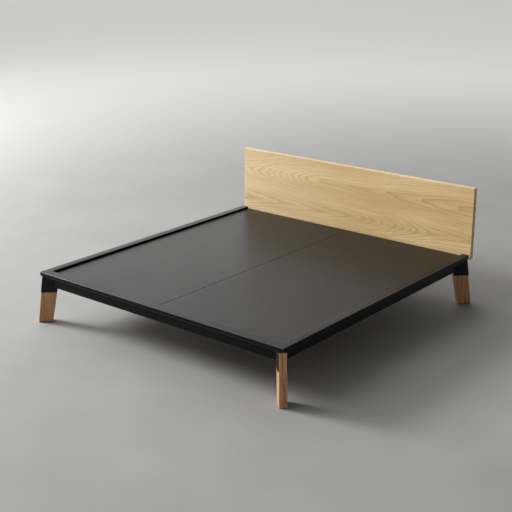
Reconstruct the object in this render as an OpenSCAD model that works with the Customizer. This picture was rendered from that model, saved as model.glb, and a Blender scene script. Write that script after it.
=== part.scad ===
// Platform bed frame for a 1930 x 2032 mm mattress.
// Millimetres, +Z up, +Y from the foot to the head. The floor is Z = 0 and the
// origin is the middle of the outer box. Inside the modules Y = 0 is the outer
// edge of the foot rim, and seat() moves the finished piece to the origin.

/* [Platform] */
// Outside width of the rim
rim_w = 2040; // [1400:10:2200]
// Outside length of the rim, from the foot edge to the open head end
rim_l = 2110; // [1900:10:2300]
// Height of the rim's top above the floor
rim_h = 350; // [300:5:450]
// Thickness of the rim boards
rim_t = 27; // [22:1:35]
// Width of the side rim boards
side_rim_w = 52; // [48:1:60]
// Width of the foot rim board
foot_rim_w = 65; // [64:1:90]
// Thickness of the deck panels
deck_t = 12; // [9:1:15]
// Width of the seam between the two deck panels
deck_seam = 3; // [2:0.5:6]

/* [Aprons] */
// Set-back of the aprons' faces from the rim's edge
apron_inset = 35; // [30:1:40]
// Thickness of the aprons
apron_t = 28; // [24:1:32]
// Height of the aprons below the rim
apron_h = 73; // [68:1:100]

/* [Legs] */
// Thickness of the oak leg
leg_t = 50; // [40:1:60]
// How far the leg's outer edge stands out past the rim's corner at the floor
leg_out_floor = 28; // [0:1:45]
// How far back from the rim's corner the outer edge is under the rim
leg_in_top = 16; // [10:1:30]
// Width of the leg's broad face at the floor
leg_w_floor = 96; // [80:1:120]
// Width of the leg's broad face under the rim
leg_w_top = 112; // [100:1:130]
// Thickness of the bracket's cheek plates
cheek_t = 4; // [3:0.5:5]
// Height of the cheek plates' lower edge above the floor
cheek_low = 212; // [190:1:225]
// Thickness of the nylon glide under the leg
glide_t = 3; // [2:0.5:6]

/* [Headboard] */
// Width of the headboard
head_w = 2043; // [1400:1:2200]
// Thickness of the headboard
head_t = 35; // [25:1:40]
// Height of the headboard's lower edge above the floor
head_low = 308; // [300:1:310]
// Height of the headboard's top edge above the floor
head_top = 822; // [700:1:1100]
// Gap between the rim's open end and the headboard
head_gap = 21; // [15:1:40]
// Distance from the middle to each headboard bracket
head_bracket_x = 560; // [300:10:800]

/* [Support under the deck] */
// Width of the centre beam
beam_w = 60; // [50:1:80]
// Thickness of a bearer slat
bearer_t = 30; // [25:1:34]
// Width of a bearer slat
bearer_w = 60; // [40:1:80]
// Width of a ledger strip
ledger_w = 25; // [20:1:30]
// Distance from the middle of the bed to each centre leg
centre_leg_y = 350; // [250:10:450]
// Outside diameter of the centre legs
centre_leg_d = 50; // [45:1:58]

/* [Hidden] */
$fn = 48;
BEARERS = 5;
SIDE_RIM_SCREWS = 5;
FOOT_RIM_SCREWS = 6;
LEDGER_SCREWS = 6;

// Sides and ends of the bed
LEFT = -1;
RIGHT = 1;
FOOT = -1;
HEAD = 1;
SIDES = [LEFT, RIGHT];
ENDS = [FOOT, HEAD];

// Clearances
fit = 0.1;        // round a fastener in its hole
joint_gap = 0.2;  // between an apron's mitred end and a cheek plate
deck_gap = 0.3;   // under the loose deck panels
deck_edge = 1;    // between a deck panel and the rim
overcut = 1;      // how far a cutter runs past the face it cuts

// Heights
rim_low = rim_h - rim_t;
apron_low = rim_low - apron_h;
deck_low = rim_low + deck_gap;
bearer_low = rim_low - bearer_t;
ledger_h = 30;
ledger_low = bearer_low - ledger_h;

// Plan: distances in from the rim's outer edge, and along the length
apron_in = apron_inset + apron_t;
head_face = rim_l + head_gap;
head_back = head_face + head_t;
corner_cut = (leg_t / 2 + cheek_t + joint_gap) * sqrt(2);
bolt_row_z = rim_low - 33;

// Leg bracket
plate_t = 5;
bracket_reach = 152;
web_low = apron_low + 6;
bolt_clearance = 1;
ear_t = 5;
ear_l = 80;
ear_h = 56;
ear_bolt_x = [26, 61];

// Headboard bracket
strap_t = 6;
strap_w = 60;
strap_top = head_low + 332;
strap_screw_z = [for (i = [0:3]) head_low + 32 + 90 * i];
face_plate_w = 80;
face_plate_low = apron_low + 4;
gusset_tip = 12;
head_bolt_x = 26;
head_bolt_z = apron_low + 24;
head_bolt_out = 9;
washer_d = 18;
washer_t = 1.5;
nut_d = 15;
nut_t = 6.5;

// Beam hanger
hanger_t = 3;
hanger_depth = 50;
hanger_h = 60;
hanger_w = 120;
hanger_screw_x = 46;
hanger_screw_z = [16, 44];
beam_low = apron_low + hanger_t;
beam_end_gap = 0.5;

// Fasteners
leg_bolt_z = [cheek_low + 24, bolt_row_z];
leg_bolt_head_d = 14;
leg_bolt_head_t = 3;
sleeve_d = 8;
leg_bolt_d = 6;
leg_bolt_l = 30;
leg_bolt_thread_l = 28;
leg_bolt_key_w = 4.6;
leg_bolt_key_depth = 2;
rail_bolt_d = 8;
rail_bolt_head_d = 14;
rail_bolt_head_t = 4.5;
rail_bolt_l = 20;
bolt_head_taper = 3;
insert_d = 12;
insert_l = 18;
screw_d = 5;
pan_head_d = 9.5;
pan_head_t = 3;
pan_head_taper = 2;
flat_head_d = 10;
flat_head_t = 2.7;
recess_l = 4.6;
recess_w = 1;
recess_depth = 1.8;
corner_screw_s = 38;
corner_screw_t = 12;
corner_screw_l = 20;
apron_screw_l = 42;
apron_screw_bore = 50;
apron_screw_bore_d = 11;
apron_screw_in = apron_inset + 9;
ledger_screw_l = 40;
bearer_screw_l = 50;
hanger_screw_l = 22;
head_screw_l = 28;
leg_plate_screw_l = 35;

// Nylon glide, and the ledgers' ends
glide_edge = 3;
glide_spigot_l = 22;
ledger_end_gap = 10;

// Centre legs and their levelling feet
tube_wall = 2;
tube_low = 35;
tube_plate_t = 4;
tube_plate_l = 110;
plug_h = 25;
plug_flange = 3;
foot_pad_h = 12;
foot_collar_h = 6;
foot_collar_d = 20;
foot_pad_edge = 3;
foot_stem_top = 78;
stem_d = 10;
running = 0.1;
tube_screw_x = 20;
tube_screw_y = 43;

// The outer box, which puts the origin in its middle
reach = (leg_t / 2 - leg_outer(glide_t)) / sqrt(2);
box_front = -reach;
box_back = head_back + strap_t + pan_head_t;
origin_y = (box_front + box_back) / 2;

function evenly(low, high, count) = [for (i = [1:count]) low + (high - low) * i / (count + 1)];
bearer_y = evenly(apron_in, rim_l - apron_in, BEARERS);
side_screw_y = evenly(0, rim_l, SIDE_RIM_SCREWS);
foot_screw_x = evenly(-rim_w / 2, rim_w / 2, FOOT_RIM_SCREWS);
ledger_screw_y = evenly(0, rim_l, LEDGER_SCREWS);

// Outer and inner edge of the leg at a height, measured in from the rim's corner
function leg_outer(z) = -leg_out_floor + (leg_out_floor + leg_in_top) * z / rim_low;
function leg_inner(z) = leg_outer(z) + leg_w_floor + (leg_w_top - leg_w_floor) * z / rim_low;
function leg_middle(z) = (leg_outer(z) + leg_inner(z)) / 2;

// ---------- Placing ----------

module seat() {
  translate([0, -origin_y, 0]) children();
}

// X runs inward along the corner's diagonal, Y across it
module at_corner(side, end) {
  seat()
    translate([side * rim_w / 2, end == HEAD ? rim_l : 0, 0])
      mirror([side == RIGHT ? 1 : 0, 0, 0])
        mirror([0, end == HEAD ? 1 : 0, 0])
          rotate([0, 0, 45])
            children();
}

// X and Y run inward along the corner's two rims, once for each rim
module along_both_rims() {
  for (flip = [0, 1])
    mirror([0, flip, 0])
      rotate([0, 0, -45])
        children();
}

module at_every_corner() {
  for (side = SIDES)
    for (end = ENDS)
      at_corner(side, end)
        children();
}

module board(outline, low, high) {
  translate([0, 0, low])
    linear_extrude(height = high - low)
      polygon(outline);
}

module block(low, high) {
  translate(low)
    cube(high - low);
}

// ---------- Fasteners, each with its head's bearing face at Z = 0, pointing up ----------

module pan_screw(length) {
  difference() {
    union() {
      translate([0, 0, -pan_head_t])
        cylinder(d1 = pan_head_d - pan_head_taper, d2 = pan_head_d, h = pan_head_t);
      cylinder(d = screw_d, h = length);
    }
    translate([0, 0, -pan_head_t])
      cross_recess();
  }
}

module flat_screw(length) {
  difference() {
    union() {
      cylinder(d1 = flat_head_d, d2 = screw_d, h = flat_head_t);
      cylinder(d = screw_d, h = length);
    }
    cross_recess();
  }
}

// Driver recess, cut upward from the head's top
module cross_recess() {
  for (turn = [0, 90])
    rotate([0, 0, turn])
      translate([0, 0, recess_depth / 2 - overcut / 2])
        cube([recess_l, recess_w, recess_depth + overcut], center = true);
}

module screw_hole(length) {
  translate([0, 0, -overcut])
    cylinder(d = screw_d + 2 * fit, h = length + 2 * overcut);
}

module flat_screw_hole(length) {
  cylinder(d1 = flat_head_d + 2 * fit, d2 = screw_d + 2 * fit, h = flat_head_t);
  screw_hole(length);
}

// Button-head bolt with a hexagon key socket
module rail_bolt(length) {
  key_w = rail_bolt_d * 0.65;
  key_depth = rail_bolt_head_t * 0.6;
  difference() {
    union() {
      translate([0, 0, -rail_bolt_head_t])
        cylinder(
          d1 = rail_bolt_head_d - bolt_head_taper, d2 = rail_bolt_head_d,
          h = rail_bolt_head_t
        );
      cylinder(d = rail_bolt_d, h = length);
    }
    translate([0, 0, -rail_bolt_head_t - overcut])
      cylinder(d = key_w, h = key_depth + overcut, $fn = 6);
  }
}

// ---------- Where the fasteners go ----------

module corner_screw_places() {
  for (t = [-corner_screw_t, corner_screw_t])
    translate([corner_screw_s, t, rim_low - plate_t])
      children();
}

module leg_bolt_places() {
  for (z = leg_bolt_z)
    translate([leg_middle(z), 0, z])
      children();
}

module rail_bolt_places() {
  along_both_rims()
    for (x = ear_bolt_x)
      translate([apron_in + corner_cut + x, apron_in + ear_t, bolt_row_z])
        rotate([90, 0, 0])
          children();
}

module side_apron_screw_places(side) {
  for (y = side_screw_y)
    translate([side * (rim_w / 2 - apron_screw_in), y, apron_low + apron_screw_bore])
      children();
}

module foot_apron_screw_places() {
  for (x = foot_screw_x)
    translate([x, apron_screw_in, apron_low + apron_screw_bore])
      children();
}

module side_ledger_screw_places(side) {
  for (y = ledger_screw_y)
    translate([side * (rim_w / 2 - apron_in - ledger_w), y, ledger_low + ledger_h / 2])
      rotate([0, side * 90, 0])
        children();
}

module beam_ledger_screw_places(side) {
  for (y = ledger_screw_y)
    translate([side * (beam_w / 2 + ledger_w), y, ledger_low + ledger_h / 2])
      rotate([0, -side * 90, 0])
        children();
}

module bearer_screw_places(side) {
  for (y = bearer_y)
    for (x = [beam_w / 2 + ledger_w / 2, rim_w / 2 - apron_in - ledger_w / 2])
      translate([side * x, y, rim_low])
        rotate([180, 0, 0])
          children();
}

module hanger_screw_places(end) {
  for (x = [-hanger_screw_x, hanger_screw_x])
    for (z = hanger_screw_z)
      translate([x, apron_end_y(end) - end * hanger_t, apron_low + z])
        rotate([-end * 90, 0, 0])
          children();
}

module centre_leg_screw_places(end) {
  for (x = [-tube_screw_x, tube_screw_x])
    for (y = [-tube_screw_y, tube_screw_y])
      translate([x, rim_l / 2 + end * centre_leg_y + y, beam_low - tube_plate_t])
        children();
}

module headboard_screw_places(side) {
  for (z = strap_screw_z)
    translate([side * head_bracket_x, head_back + strap_t, z])
      rotate([90, 0, 0])
        children();
}

module headboard_bolt_places(side) {
  for (x = [-head_bolt_x, head_bolt_x])
    translate([side * head_bracket_x + x, rim_l - apron_inset + strap_t, head_bolt_z])
      rotate([90, 0, 0])
        children();
}

// Inner face of the foot or head apron
function apron_end_y(end) = end == HEAD ? rim_l - apron_in : apron_in;

// ---------- Rim ----------

// Foot rim board, mitred into the side boards
module rim_foot() {
  color("#242424")
    seat()
      difference() {
        board(
          [
            [-rim_w / 2, 0], [rim_w / 2, 0],
            [rim_w / 2 - side_rim_w, foot_rim_w], [-rim_w / 2 + side_rim_w, foot_rim_w]
          ],
          rim_low, rim_h
        );
        corner_pilots();
        foot_apron_screw_places()
          screw_hole(apron_screw_l);
      }
}

module rim_side(side) {
  color("#242424")
    seat()
      difference() {
        mirror([side == RIGHT ? 1 : 0, 0, 0])
          board(
            [
              [-rim_w / 2, 0], [-rim_w / 2 + side_rim_w, foot_rim_w],
              [-rim_w / 2 + side_rim_w, rim_l], [-rim_w / 2, rim_l]
            ],
            rim_low, rim_h
          );
        corner_pilots();
        side_apron_screw_places(side)
          screw_hole(apron_screw_l);
      }
}

module corner_pilots() {
  translate([0, origin_y, 0])
    at_every_corner()
      corner_screw_places()
        screw_hole(corner_screw_l);
}

// ---------- Aprons ----------

// Rails under the rim, mitred at 45 degrees to butt against the leg brackets
module apron_end(end) {
  color("#1f1f1f")
    seat()
      difference() {
        translate([0, end == HEAD ? rim_l : 0, 0])
          mirror([0, end == HEAD ? 1 : 0, 0])
            board(
              [
                [-rim_w / 2 + apron_inset + corner_cut, apron_inset],
                [rim_w / 2 - apron_inset - corner_cut, apron_inset],
                [rim_w / 2 - apron_in - corner_cut, apron_in],
                [-rim_w / 2 + apron_in + corner_cut, apron_in]
              ],
              apron_low, rim_low
            );
        insert_sockets();
        hanger_screw_places(end)
          screw_hole(hanger_screw_l);
        if (end == FOOT)
          foot_apron_screw_places()
            apron_screw_bore();
        if (end == HEAD)
          for (side = SIDES)
            headboard_bolt_places(side)
              translate([0, 0, -overcut])
                cylinder(d = rail_bolt_d + bolt_clearance, h = strap_t + apron_t + 2 * overcut);
      }
}

module apron_side(side) {
  color("#1f1f1f")
    seat()
      difference() {
        mirror([side == RIGHT ? 1 : 0, 0, 0])
          board(
            [
              [-rim_w / 2 + apron_inset, apron_inset + corner_cut],
              [-rim_w / 2 + apron_in, apron_in + corner_cut],
              [-rim_w / 2 + apron_in, rim_l - apron_in - corner_cut],
              [-rim_w / 2 + apron_inset, rim_l - apron_inset - corner_cut]
            ],
            apron_low, rim_low
          );
        insert_sockets();
        side_apron_screw_places(side)
          apron_screw_bore();
        side_ledger_screw_places(side)
          screw_hole(ledger_screw_l);
      }
}

// Threaded inserts sit in blind sockets in the aprons' inner faces
module insert_sockets() {
  translate([0, origin_y, 0])
    at_every_corner()
      rail_bolt_places()
        translate([0, 0, ear_t - overcut])
          cylinder(d = insert_d + 2 * fit, h = insert_l + 2 * overcut);
}

// A counterbore from below takes the screw's head
module apron_screw_bore() {
  screw_hole(apron_screw_l);
  translate([0, 0, -apron_screw_bore - overcut])
    cylinder(d = apron_screw_bore_d, h = apron_screw_bore + overcut);
}

// ---------- Legs ----------

// Solid oak blade on the corner's diagonal, leaning outward and tapering down
module leg(side, end) {
  low = glide_t;
  high = rim_low - plate_t;
  color("#9a714b")
    at_corner(side, end)
      difference() {
        rotate([90, 0, 0])
          linear_extrude(height = leg_t, center = true)
            polygon([
              [leg_outer(low), low], [leg_inner(low), low],
              [leg_inner(high), high], [leg_outer(high), high]
            ]);
        leg_bolt_places()
          rotate([90, 0, 0])
            cylinder(d = sleeve_d + 2 * fit, h = leg_t + 2 * overcut, center = true);
        translate([leg_middle(0), 0, 0])
          cylinder(d = sleeve_d + 2 * fit, h = glide_spigot_l + 2 * overcut);
      }
}

// Welded steel bracket: top plate, two cheeks and two ears for the rails
module bracket(side, end) {
  color("#1b1b1b")
    at_corner(side, end)
      difference() {
        union() {
          for (flip = [0, 1])
            mirror([0, flip, 0])
              translate([0, leg_t / 2 + cheek_t, 0])
                rotate([90, 0, 0])
                  linear_extrude(height = cheek_t)
                    polygon([
                      [leg_outer(cheek_low), cheek_low], [leg_inner(cheek_low), cheek_low],
                      [leg_inner(web_low), web_low], [bracket_reach, web_low],
                      [bracket_reach, rim_low], [leg_outer(rim_low), rim_low]
                    ]);
          block(
            [leg_outer(rim_low), -leg_t / 2, rim_low - plate_t],
            [bracket_reach, leg_t / 2, rim_low]
          );
          along_both_rims()
            board(
              [
                [apron_in + corner_cut, apron_in], [apron_in + corner_cut + ear_l, apron_in],
                [apron_in + corner_cut + ear_l, apron_in + ear_t],
                [apron_in + corner_cut + ear_t - 2 * joint_gap, apron_in + ear_t],
                [apron_in + corner_cut - 2 * joint_gap, apron_in]
              ],
              rim_low - plate_t - ear_h, rim_low - plate_t
            );
        }
        leg_bolt_places() {
          rotate([90, 0, 0])
            cylinder(d = sleeve_d + 2 * fit, h = leg_t + 4 * cheek_t, center = true);
          for (face = [-1, 1])
            translate([0, face * (leg_t / 2 + cheek_t), 0])
              rotate([face * 90, 0, 0])
                cylinder(
                  d1 = leg_bolt_head_d + 2 * fit, d2 = sleeve_d + 2 * fit,
                  h = leg_bolt_head_t
                );
        }
        rail_bolt_places()
          translate([0, 0, -overcut])
            cylinder(d = rail_bolt_d + bolt_clearance, h = ear_t + 2 * overcut);
        corner_screw_places()
          flat_screw_hole(corner_screw_l);
      }
}

// Nylon glide with a spigot pressed into the leg's end
module glide(side, end) {
  color("#151515")
    at_corner(side, end) {
      block(
        [leg_outer(glide_t) + glide_edge, -leg_t / 2 + glide_edge, 0],
        [leg_inner(glide_t) - glide_edge, leg_t / 2 - glide_edge, glide_t]
      );
      translate([leg_middle(0), 0, 0])
        cylinder(d = sleeve_d, h = glide_spigot_l);
    }
}

// Countersunk bolt that screws into the sleeve nut from the other cheek
module leg_bolts() {
  color("#2b2b2b")
    at_every_corner()
      leg_bolt_places()
        translate([0, leg_t / 2 + cheek_t, 0])
          rotate([90, 0, 0])
            difference() {
              union() {
                cylinder(d1 = leg_bolt_head_d, d2 = sleeve_d, h = leg_bolt_head_t);
                cylinder(d = leg_bolt_d, h = leg_bolt_l);
              }
              leg_bolt_key();
            }
}

module leg_bolt_key() {
  translate([0, 0, -overcut])
    cylinder(d = leg_bolt_key_w, h = leg_bolt_key_depth + overcut, $fn = 6);
}

module leg_sleeve_nuts() {
  sleeve_l = leg_t + cheek_t;
  color("#2b2b2b")
    at_every_corner()
      leg_bolt_places()
        translate([0, -leg_t / 2 - cheek_t, 0])
          rotate([-90, 0, 0])
            difference() {
              union() {
                cylinder(d1 = leg_bolt_head_d, d2 = sleeve_d, h = leg_bolt_head_t);
                cylinder(d = sleeve_d, h = sleeve_l);
              }
              leg_bolt_key();
              translate([0, 0, sleeve_l - leg_bolt_thread_l])
                cylinder(d = leg_bolt_d + 2 * fit, h = leg_bolt_thread_l + overcut);
            }
}

module corner_screws() {
  color("#2b2b2b")
    at_every_corner()
      corner_screw_places()
        flat_screw(corner_screw_l);
}

module rail_bolts() {
  color("silver")
    at_every_corner()
      rail_bolt_places()
        rail_bolt(rail_bolt_l);
}

module rail_inserts() {
  color("#b8a050")
    at_every_corner()
      rail_bolt_places()
        translate([0, 0, ear_t])
          difference() {
            cylinder(d = insert_d, h = insert_l);
            translate([0, 0, -overcut])
              cylinder(d = rail_bolt_d + 2 * fit, h = insert_l + 2 * overcut);
          }
}

module apron_screws() {
  color("silver")
    seat() {
      for (side = SIDES)
        side_apron_screw_places(side)
          pan_screw(apron_screw_l);
      foot_apron_screw_places()
        pan_screw(apron_screw_l);
    }
}

// ---------- Support under the deck ----------

module centre_beam() {
  end_gap = hanger_t + beam_end_gap;
  color("#c8a878")
    seat()
      difference() {
        block(
          [-beam_w / 2, apron_in + end_gap, beam_low],
          [beam_w / 2, rim_l - apron_in - end_gap, rim_low]
        );
        for (end = ENDS)
          centre_leg_screw_places(end)
            screw_hole(leg_plate_screw_l);
        for (side = SIDES)
          beam_ledger_screw_places(side)
            screw_hole(ledger_screw_l);
      }
}

// Folded steel shoe that carries the beam's end on the apron
module beam_hanger(end) {
  inner = beam_w / 2 + 2 * fit;
  color("silver")
    seat()
      difference() {
        translate([0, end == HEAD ? rim_l : 0, 0])
          mirror([0, end == HEAD ? 1 : 0, 0]) {
            block(
              [-hanger_w / 2, apron_in, apron_low],
              [hanger_w / 2, apron_in + hanger_t, apron_low + hanger_h]
            );
            block(
              [-inner - hanger_t, apron_in, apron_low],
              [inner + hanger_t, apron_in + hanger_depth, beam_low]
            );
            for (flip = [0, 1])
              mirror([flip, 0, 0])
                block(
                  [inner, apron_in, apron_low],
                  [inner + hanger_t, apron_in + hanger_depth, apron_low + hanger_h]
                );
          }
        hanger_screw_places(end)
          screw_hole(hanger_screw_l);
      }
}

module hanger_screws() {
  color("silver")
    seat()
      for (end = ENDS)
        hanger_screw_places(end)
          pan_screw(hanger_screw_l);
}

module at_centre_leg(end) {
  seat()
    translate([0, rim_l / 2 + end * centre_leg_y, 0])
      children();
}

// Steel tube with a plate welded to its top
module centre_leg(end) {
  color("#1b1b1b")
    difference() {
      at_centre_leg(end) {
        difference() {
          translate([0, 0, tube_low])
            cylinder(d = centre_leg_d, h = beam_low - tube_plate_t - tube_low);
          translate([0, 0, tube_low - overcut])
            cylinder(
              d = centre_leg_d - 2 * tube_wall,
              h = beam_low - tube_plate_t - tube_low + overcut
            );
        }
        block(
          [-beam_w / 2, -tube_plate_l / 2, beam_low - tube_plate_t],
          [beam_w / 2, tube_plate_l / 2, beam_low]
        );
      }
      seat()
        centre_leg_screw_places(end)
          screw_hole(leg_plate_screw_l);
    }
}

module centre_leg_screws() {
  color("silver")
    seat()
      for (end = ENDS)
        centre_leg_screw_places(end)
          pan_screw(leg_plate_screw_l);
}

// Nylon plug that closes the tube and holds the levelling foot's stem
module centre_leg_plug(end) {
  color("#151515")
    at_centre_leg(end)
      difference() {
        union() {
          translate([0, 0, tube_low - plug_flange])
            cylinder(d = centre_leg_d, h = plug_flange);
          translate([0, 0, tube_low - plug_flange])
            cylinder(d = centre_leg_d - 2 * tube_wall - 2 * fit, h = plug_h + plug_flange);
        }
        translate([0, 0, tube_low - plug_flange - overcut])
          cylinder(d = stem_d + 2 * running, h = plug_h + plug_flange + 2 * overcut);
      }
}

// Levelling foot: nylon pad, hexagon collar and screwed stem
module centre_foot(end) {
  color("#303030")
    at_centre_leg(end) {
      cylinder(d1 = centre_leg_d - 2 * foot_pad_edge, d2 = centre_leg_d, h = foot_pad_edge);
      translate([0, 0, foot_pad_edge])
        cylinder(d = centre_leg_d, h = foot_pad_h - foot_pad_edge);
      translate([0, 0, foot_pad_h])
        cylinder(d = foot_collar_d, h = foot_collar_h, $fn = 6);
      cylinder(d = stem_d, h = foot_stem_top);
    }
}

module side_ledger(side) {
  end_gap = apron_in + corner_cut + ear_l + ledger_end_gap;
  color("#c8a878")
    seat()
      difference() {
        mirror([side == RIGHT ? 1 : 0, 0, 0])
          block(
            [-rim_w / 2 + apron_in, end_gap, ledger_low],
            [-rim_w / 2 + apron_in + ledger_w, rim_l - end_gap, bearer_low]
          );
        side_ledger_screw_places(side)
          flat_screw_hole(ledger_screw_l);
        bearer_screw_places(side)
          screw_hole(bearer_screw_l);
      }
}

module beam_ledger(side) {
  end_gap = apron_in + hanger_depth + ledger_end_gap;
  color("#c8a878")
    seat()
      difference() {
        mirror([side == RIGHT ? 1 : 0, 0, 0])
          block(
            [-beam_w / 2 - ledger_w, end_gap, ledger_low],
            [-beam_w / 2, rim_l - end_gap, bearer_low]
          );
        beam_ledger_screw_places(side)
          flat_screw_hole(ledger_screw_l);
        bearer_screw_places(side)
          screw_hole(bearer_screw_l);
      }
}

module ledger_screws() {
  color("silver")
    seat()
      for (side = SIDES) {
        side_ledger_screw_places(side)
          flat_screw(ledger_screw_l);
        beam_ledger_screw_places(side)
          flat_screw(ledger_screw_l);
      }
}

// Slat across one half of the bed, from the beam to the side apron
module bearer(side, number) {
  end_gap = 1;
  y = bearer_y[number - 1];
  color("#d8bd90")
    seat()
      difference() {
        mirror([side == LEFT ? 1 : 0, 0, 0])
          block(
            [beam_w / 2 + end_gap, y - bearer_w / 2, bearer_low],
            [rim_w / 2 - apron_in - end_gap, y + bearer_w / 2, rim_low]
          );
        bearer_screw_places(side)
          flat_screw_hole(bearer_screw_l);
      }
}

module bearer_screws() {
  color("silver")
    seat()
      for (side = SIDES)
        bearer_screw_places(side)
          flat_screw(bearer_screw_l);
}

// ---------- Deck ----------

// Loose panel that lies in the tray and lifts straight out
module deck(side) {
  color("#343434")
    seat()
      mirror([side == LEFT ? 1 : 0, 0, 0])
        block(
          [deck_seam / 2, foot_rim_w + deck_edge, deck_low],
          [rim_w / 2 - side_rim_w - deck_edge, rim_l, deck_low + deck_t]
        );
}

// ---------- Headboard ----------

module headboard() {
  color("#d9b57c")
    seat()
      difference() {
        block([-head_w / 2, head_face, head_low], [head_w / 2, head_back, head_top]);
        for (side = SIDES)
          headboard_screw_places(side)
            screw_hole(head_screw_l);
      }
}

// Welded steel bracket: plate on the head apron, shelf and gusset under the
// board, and a strap up its back
module headboard_bracket(side) {
  plate_y = rim_l - apron_inset;
  shelf_low = head_low - strap_t;
  strap_y = head_back + strap_t;
  x = side * head_bracket_x;
  color("#1b1b1b")
    seat()
      difference() {
        union() {
          block(
            [x - face_plate_w / 2, plate_y, face_plate_low],
            [x + face_plate_w / 2, plate_y + strap_t, head_low]
          );
          block([x - strap_w / 2, plate_y, shelf_low], [x + strap_w / 2, strap_y, head_low]);
          block([x - strap_w / 2, head_back, shelf_low], [x + strap_w / 2, strap_y, strap_top]);
          translate([x - strap_t / 2, 0, 0])
            rotate([90, 0, 90])
              linear_extrude(height = strap_t)
                polygon([
                  [plate_y, face_plate_low], [plate_y, head_low],
                  [strap_y, head_low], [strap_y, shelf_low - gusset_tip]
                ]);
        }
        headboard_screw_places(side)
          screw_hole(head_screw_l);
        headboard_bolt_places(side)
          translate([0, 0, -overcut])
            cylinder(d = rail_bolt_d + bolt_clearance, h = strap_t + 2 * overcut);
      }
}

module headboard_screws() {
  color("silver")
    seat()
      for (side = SIDES)
        headboard_screw_places(side)
          pan_screw(head_screw_l);
}

module headboard_bolts() {
  color("silver")
    seat()
      for (side = SIDES)
        headboard_bolt_places(side)
          rail_bolt(strap_t + apron_t + head_bolt_out);
}

module headboard_nuts() {
  color("silver")
    seat()
      for (side = SIDES)
        headboard_bolt_places(side)
          translate([0, 0, strap_t + apron_t])
            difference() {
              union() {
                cylinder(d = washer_d, h = washer_t);
                cylinder(d = nut_d, h = washer_t + nut_t, $fn = 6);
              }
              translate([0, 0, -overcut])
                cylinder(d = rail_bolt_d + 2 * fit, h = nut_t + washer_t + 2 * overcut);
            }
}

// ---------- Nodes ----------

rim_foot();
rim_side(LEFT);  // rim_left
rim_side(RIGHT);  // rim_right
apron_end(FOOT);  // apron_foot
apron_side(LEFT);  // apron_left
apron_side(RIGHT);  // apron_right
apron_end(HEAD);  // apron_head
bracket(LEFT, FOOT);  // bracket_foot_left
bracket(RIGHT, FOOT);  // bracket_foot_right
bracket(LEFT, HEAD);  // bracket_head_left
bracket(RIGHT, HEAD);  // bracket_head_right
leg(LEFT, FOOT);  // leg_foot_left
leg(RIGHT, FOOT);  // leg_foot_right
leg(LEFT, HEAD);  // leg_head_left
leg(RIGHT, HEAD);  // leg_head_right
glide(LEFT, FOOT);  // glide_foot_left
glide(RIGHT, FOOT);  // glide_foot_right
glide(LEFT, HEAD);  // glide_head_left
glide(RIGHT, HEAD);  // glide_head_right
leg_bolts();
leg_sleeve_nuts();
corner_screws();
rail_bolts();
rail_inserts();
apron_screws();
centre_beam();
beam_hanger(FOOT);  // beam_hanger_foot
beam_hanger(HEAD);  // beam_hanger_head
hanger_screws();
centre_leg(FOOT);  // centre_leg_front
centre_leg(HEAD);  // centre_leg_rear
centre_leg_screws();
centre_leg_plug(FOOT);  // centre_leg_plug_front
centre_leg_plug(HEAD);  // centre_leg_plug_rear
centre_foot(FOOT);  // centre_foot_front
centre_foot(HEAD);  // centre_foot_rear
side_ledger(LEFT);  // side_ledger_left
side_ledger(RIGHT);  // side_ledger_right
beam_ledger(LEFT);  // beam_ledger_left
beam_ledger(RIGHT);  // beam_ledger_right
ledger_screws();
bearer(LEFT, 1);  // bearer_left_1
bearer(LEFT, 2);  // bearer_left_2
bearer(LEFT, 3);  // bearer_left_3
bearer(LEFT, 4);  // bearer_left_4
bearer(LEFT, 5);  // bearer_left_5
bearer(RIGHT, 1);  // bearer_right_1
bearer(RIGHT, 2);  // bearer_right_2
bearer(RIGHT, 3);  // bearer_right_3
bearer(RIGHT, 4);  // bearer_right_4
bearer(RIGHT, 5);  // bearer_right_5
bearer_screws();
deck(LEFT);  // deck_left
deck(RIGHT);  // deck_right
headboard();
headboard_bracket(LEFT);  // headboard_bracket_left
headboard_bracket(RIGHT);  // headboard_bracket_right
headboard_screws();
headboard_bolts();
headboard_nuts();
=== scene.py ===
import math

import bpy
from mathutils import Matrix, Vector


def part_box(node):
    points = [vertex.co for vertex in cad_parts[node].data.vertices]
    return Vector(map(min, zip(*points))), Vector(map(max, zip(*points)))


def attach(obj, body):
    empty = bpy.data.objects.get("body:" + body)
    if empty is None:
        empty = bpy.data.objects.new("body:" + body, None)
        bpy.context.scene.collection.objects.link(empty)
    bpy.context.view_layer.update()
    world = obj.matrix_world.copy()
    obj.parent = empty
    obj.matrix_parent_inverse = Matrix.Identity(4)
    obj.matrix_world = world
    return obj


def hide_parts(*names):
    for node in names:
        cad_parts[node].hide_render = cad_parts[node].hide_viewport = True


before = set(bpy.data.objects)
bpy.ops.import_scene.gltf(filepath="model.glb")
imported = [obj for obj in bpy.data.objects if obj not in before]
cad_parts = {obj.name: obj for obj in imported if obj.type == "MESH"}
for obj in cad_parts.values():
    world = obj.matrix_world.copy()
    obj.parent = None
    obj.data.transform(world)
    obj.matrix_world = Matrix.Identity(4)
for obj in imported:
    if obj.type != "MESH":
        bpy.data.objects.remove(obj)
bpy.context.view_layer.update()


# Corner legs. Each is one solid oak blade on the corner's diagonal, 50 mm thick, that
# leans outward and tapers to the floor. All four are cut to one pattern, their long
# edges are rounded over, and an oil finish leaves the oak a warm brown.
def clear_selection():
    """Leaves nothing selected, so the next operator acts only on what it is given."""
    if bpy.context.object and bpy.context.object.mode != "OBJECT":
        bpy.ops.object.mode_set(mode="OBJECT")
    bpy.ops.object.select_all(action="DESELECT")


def take(piece):
    """Makes the piece the one selected and active object."""
    clear_selection()
    piece.select_set(True)
    bpy.context.view_layer.objects.active = piece


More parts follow.
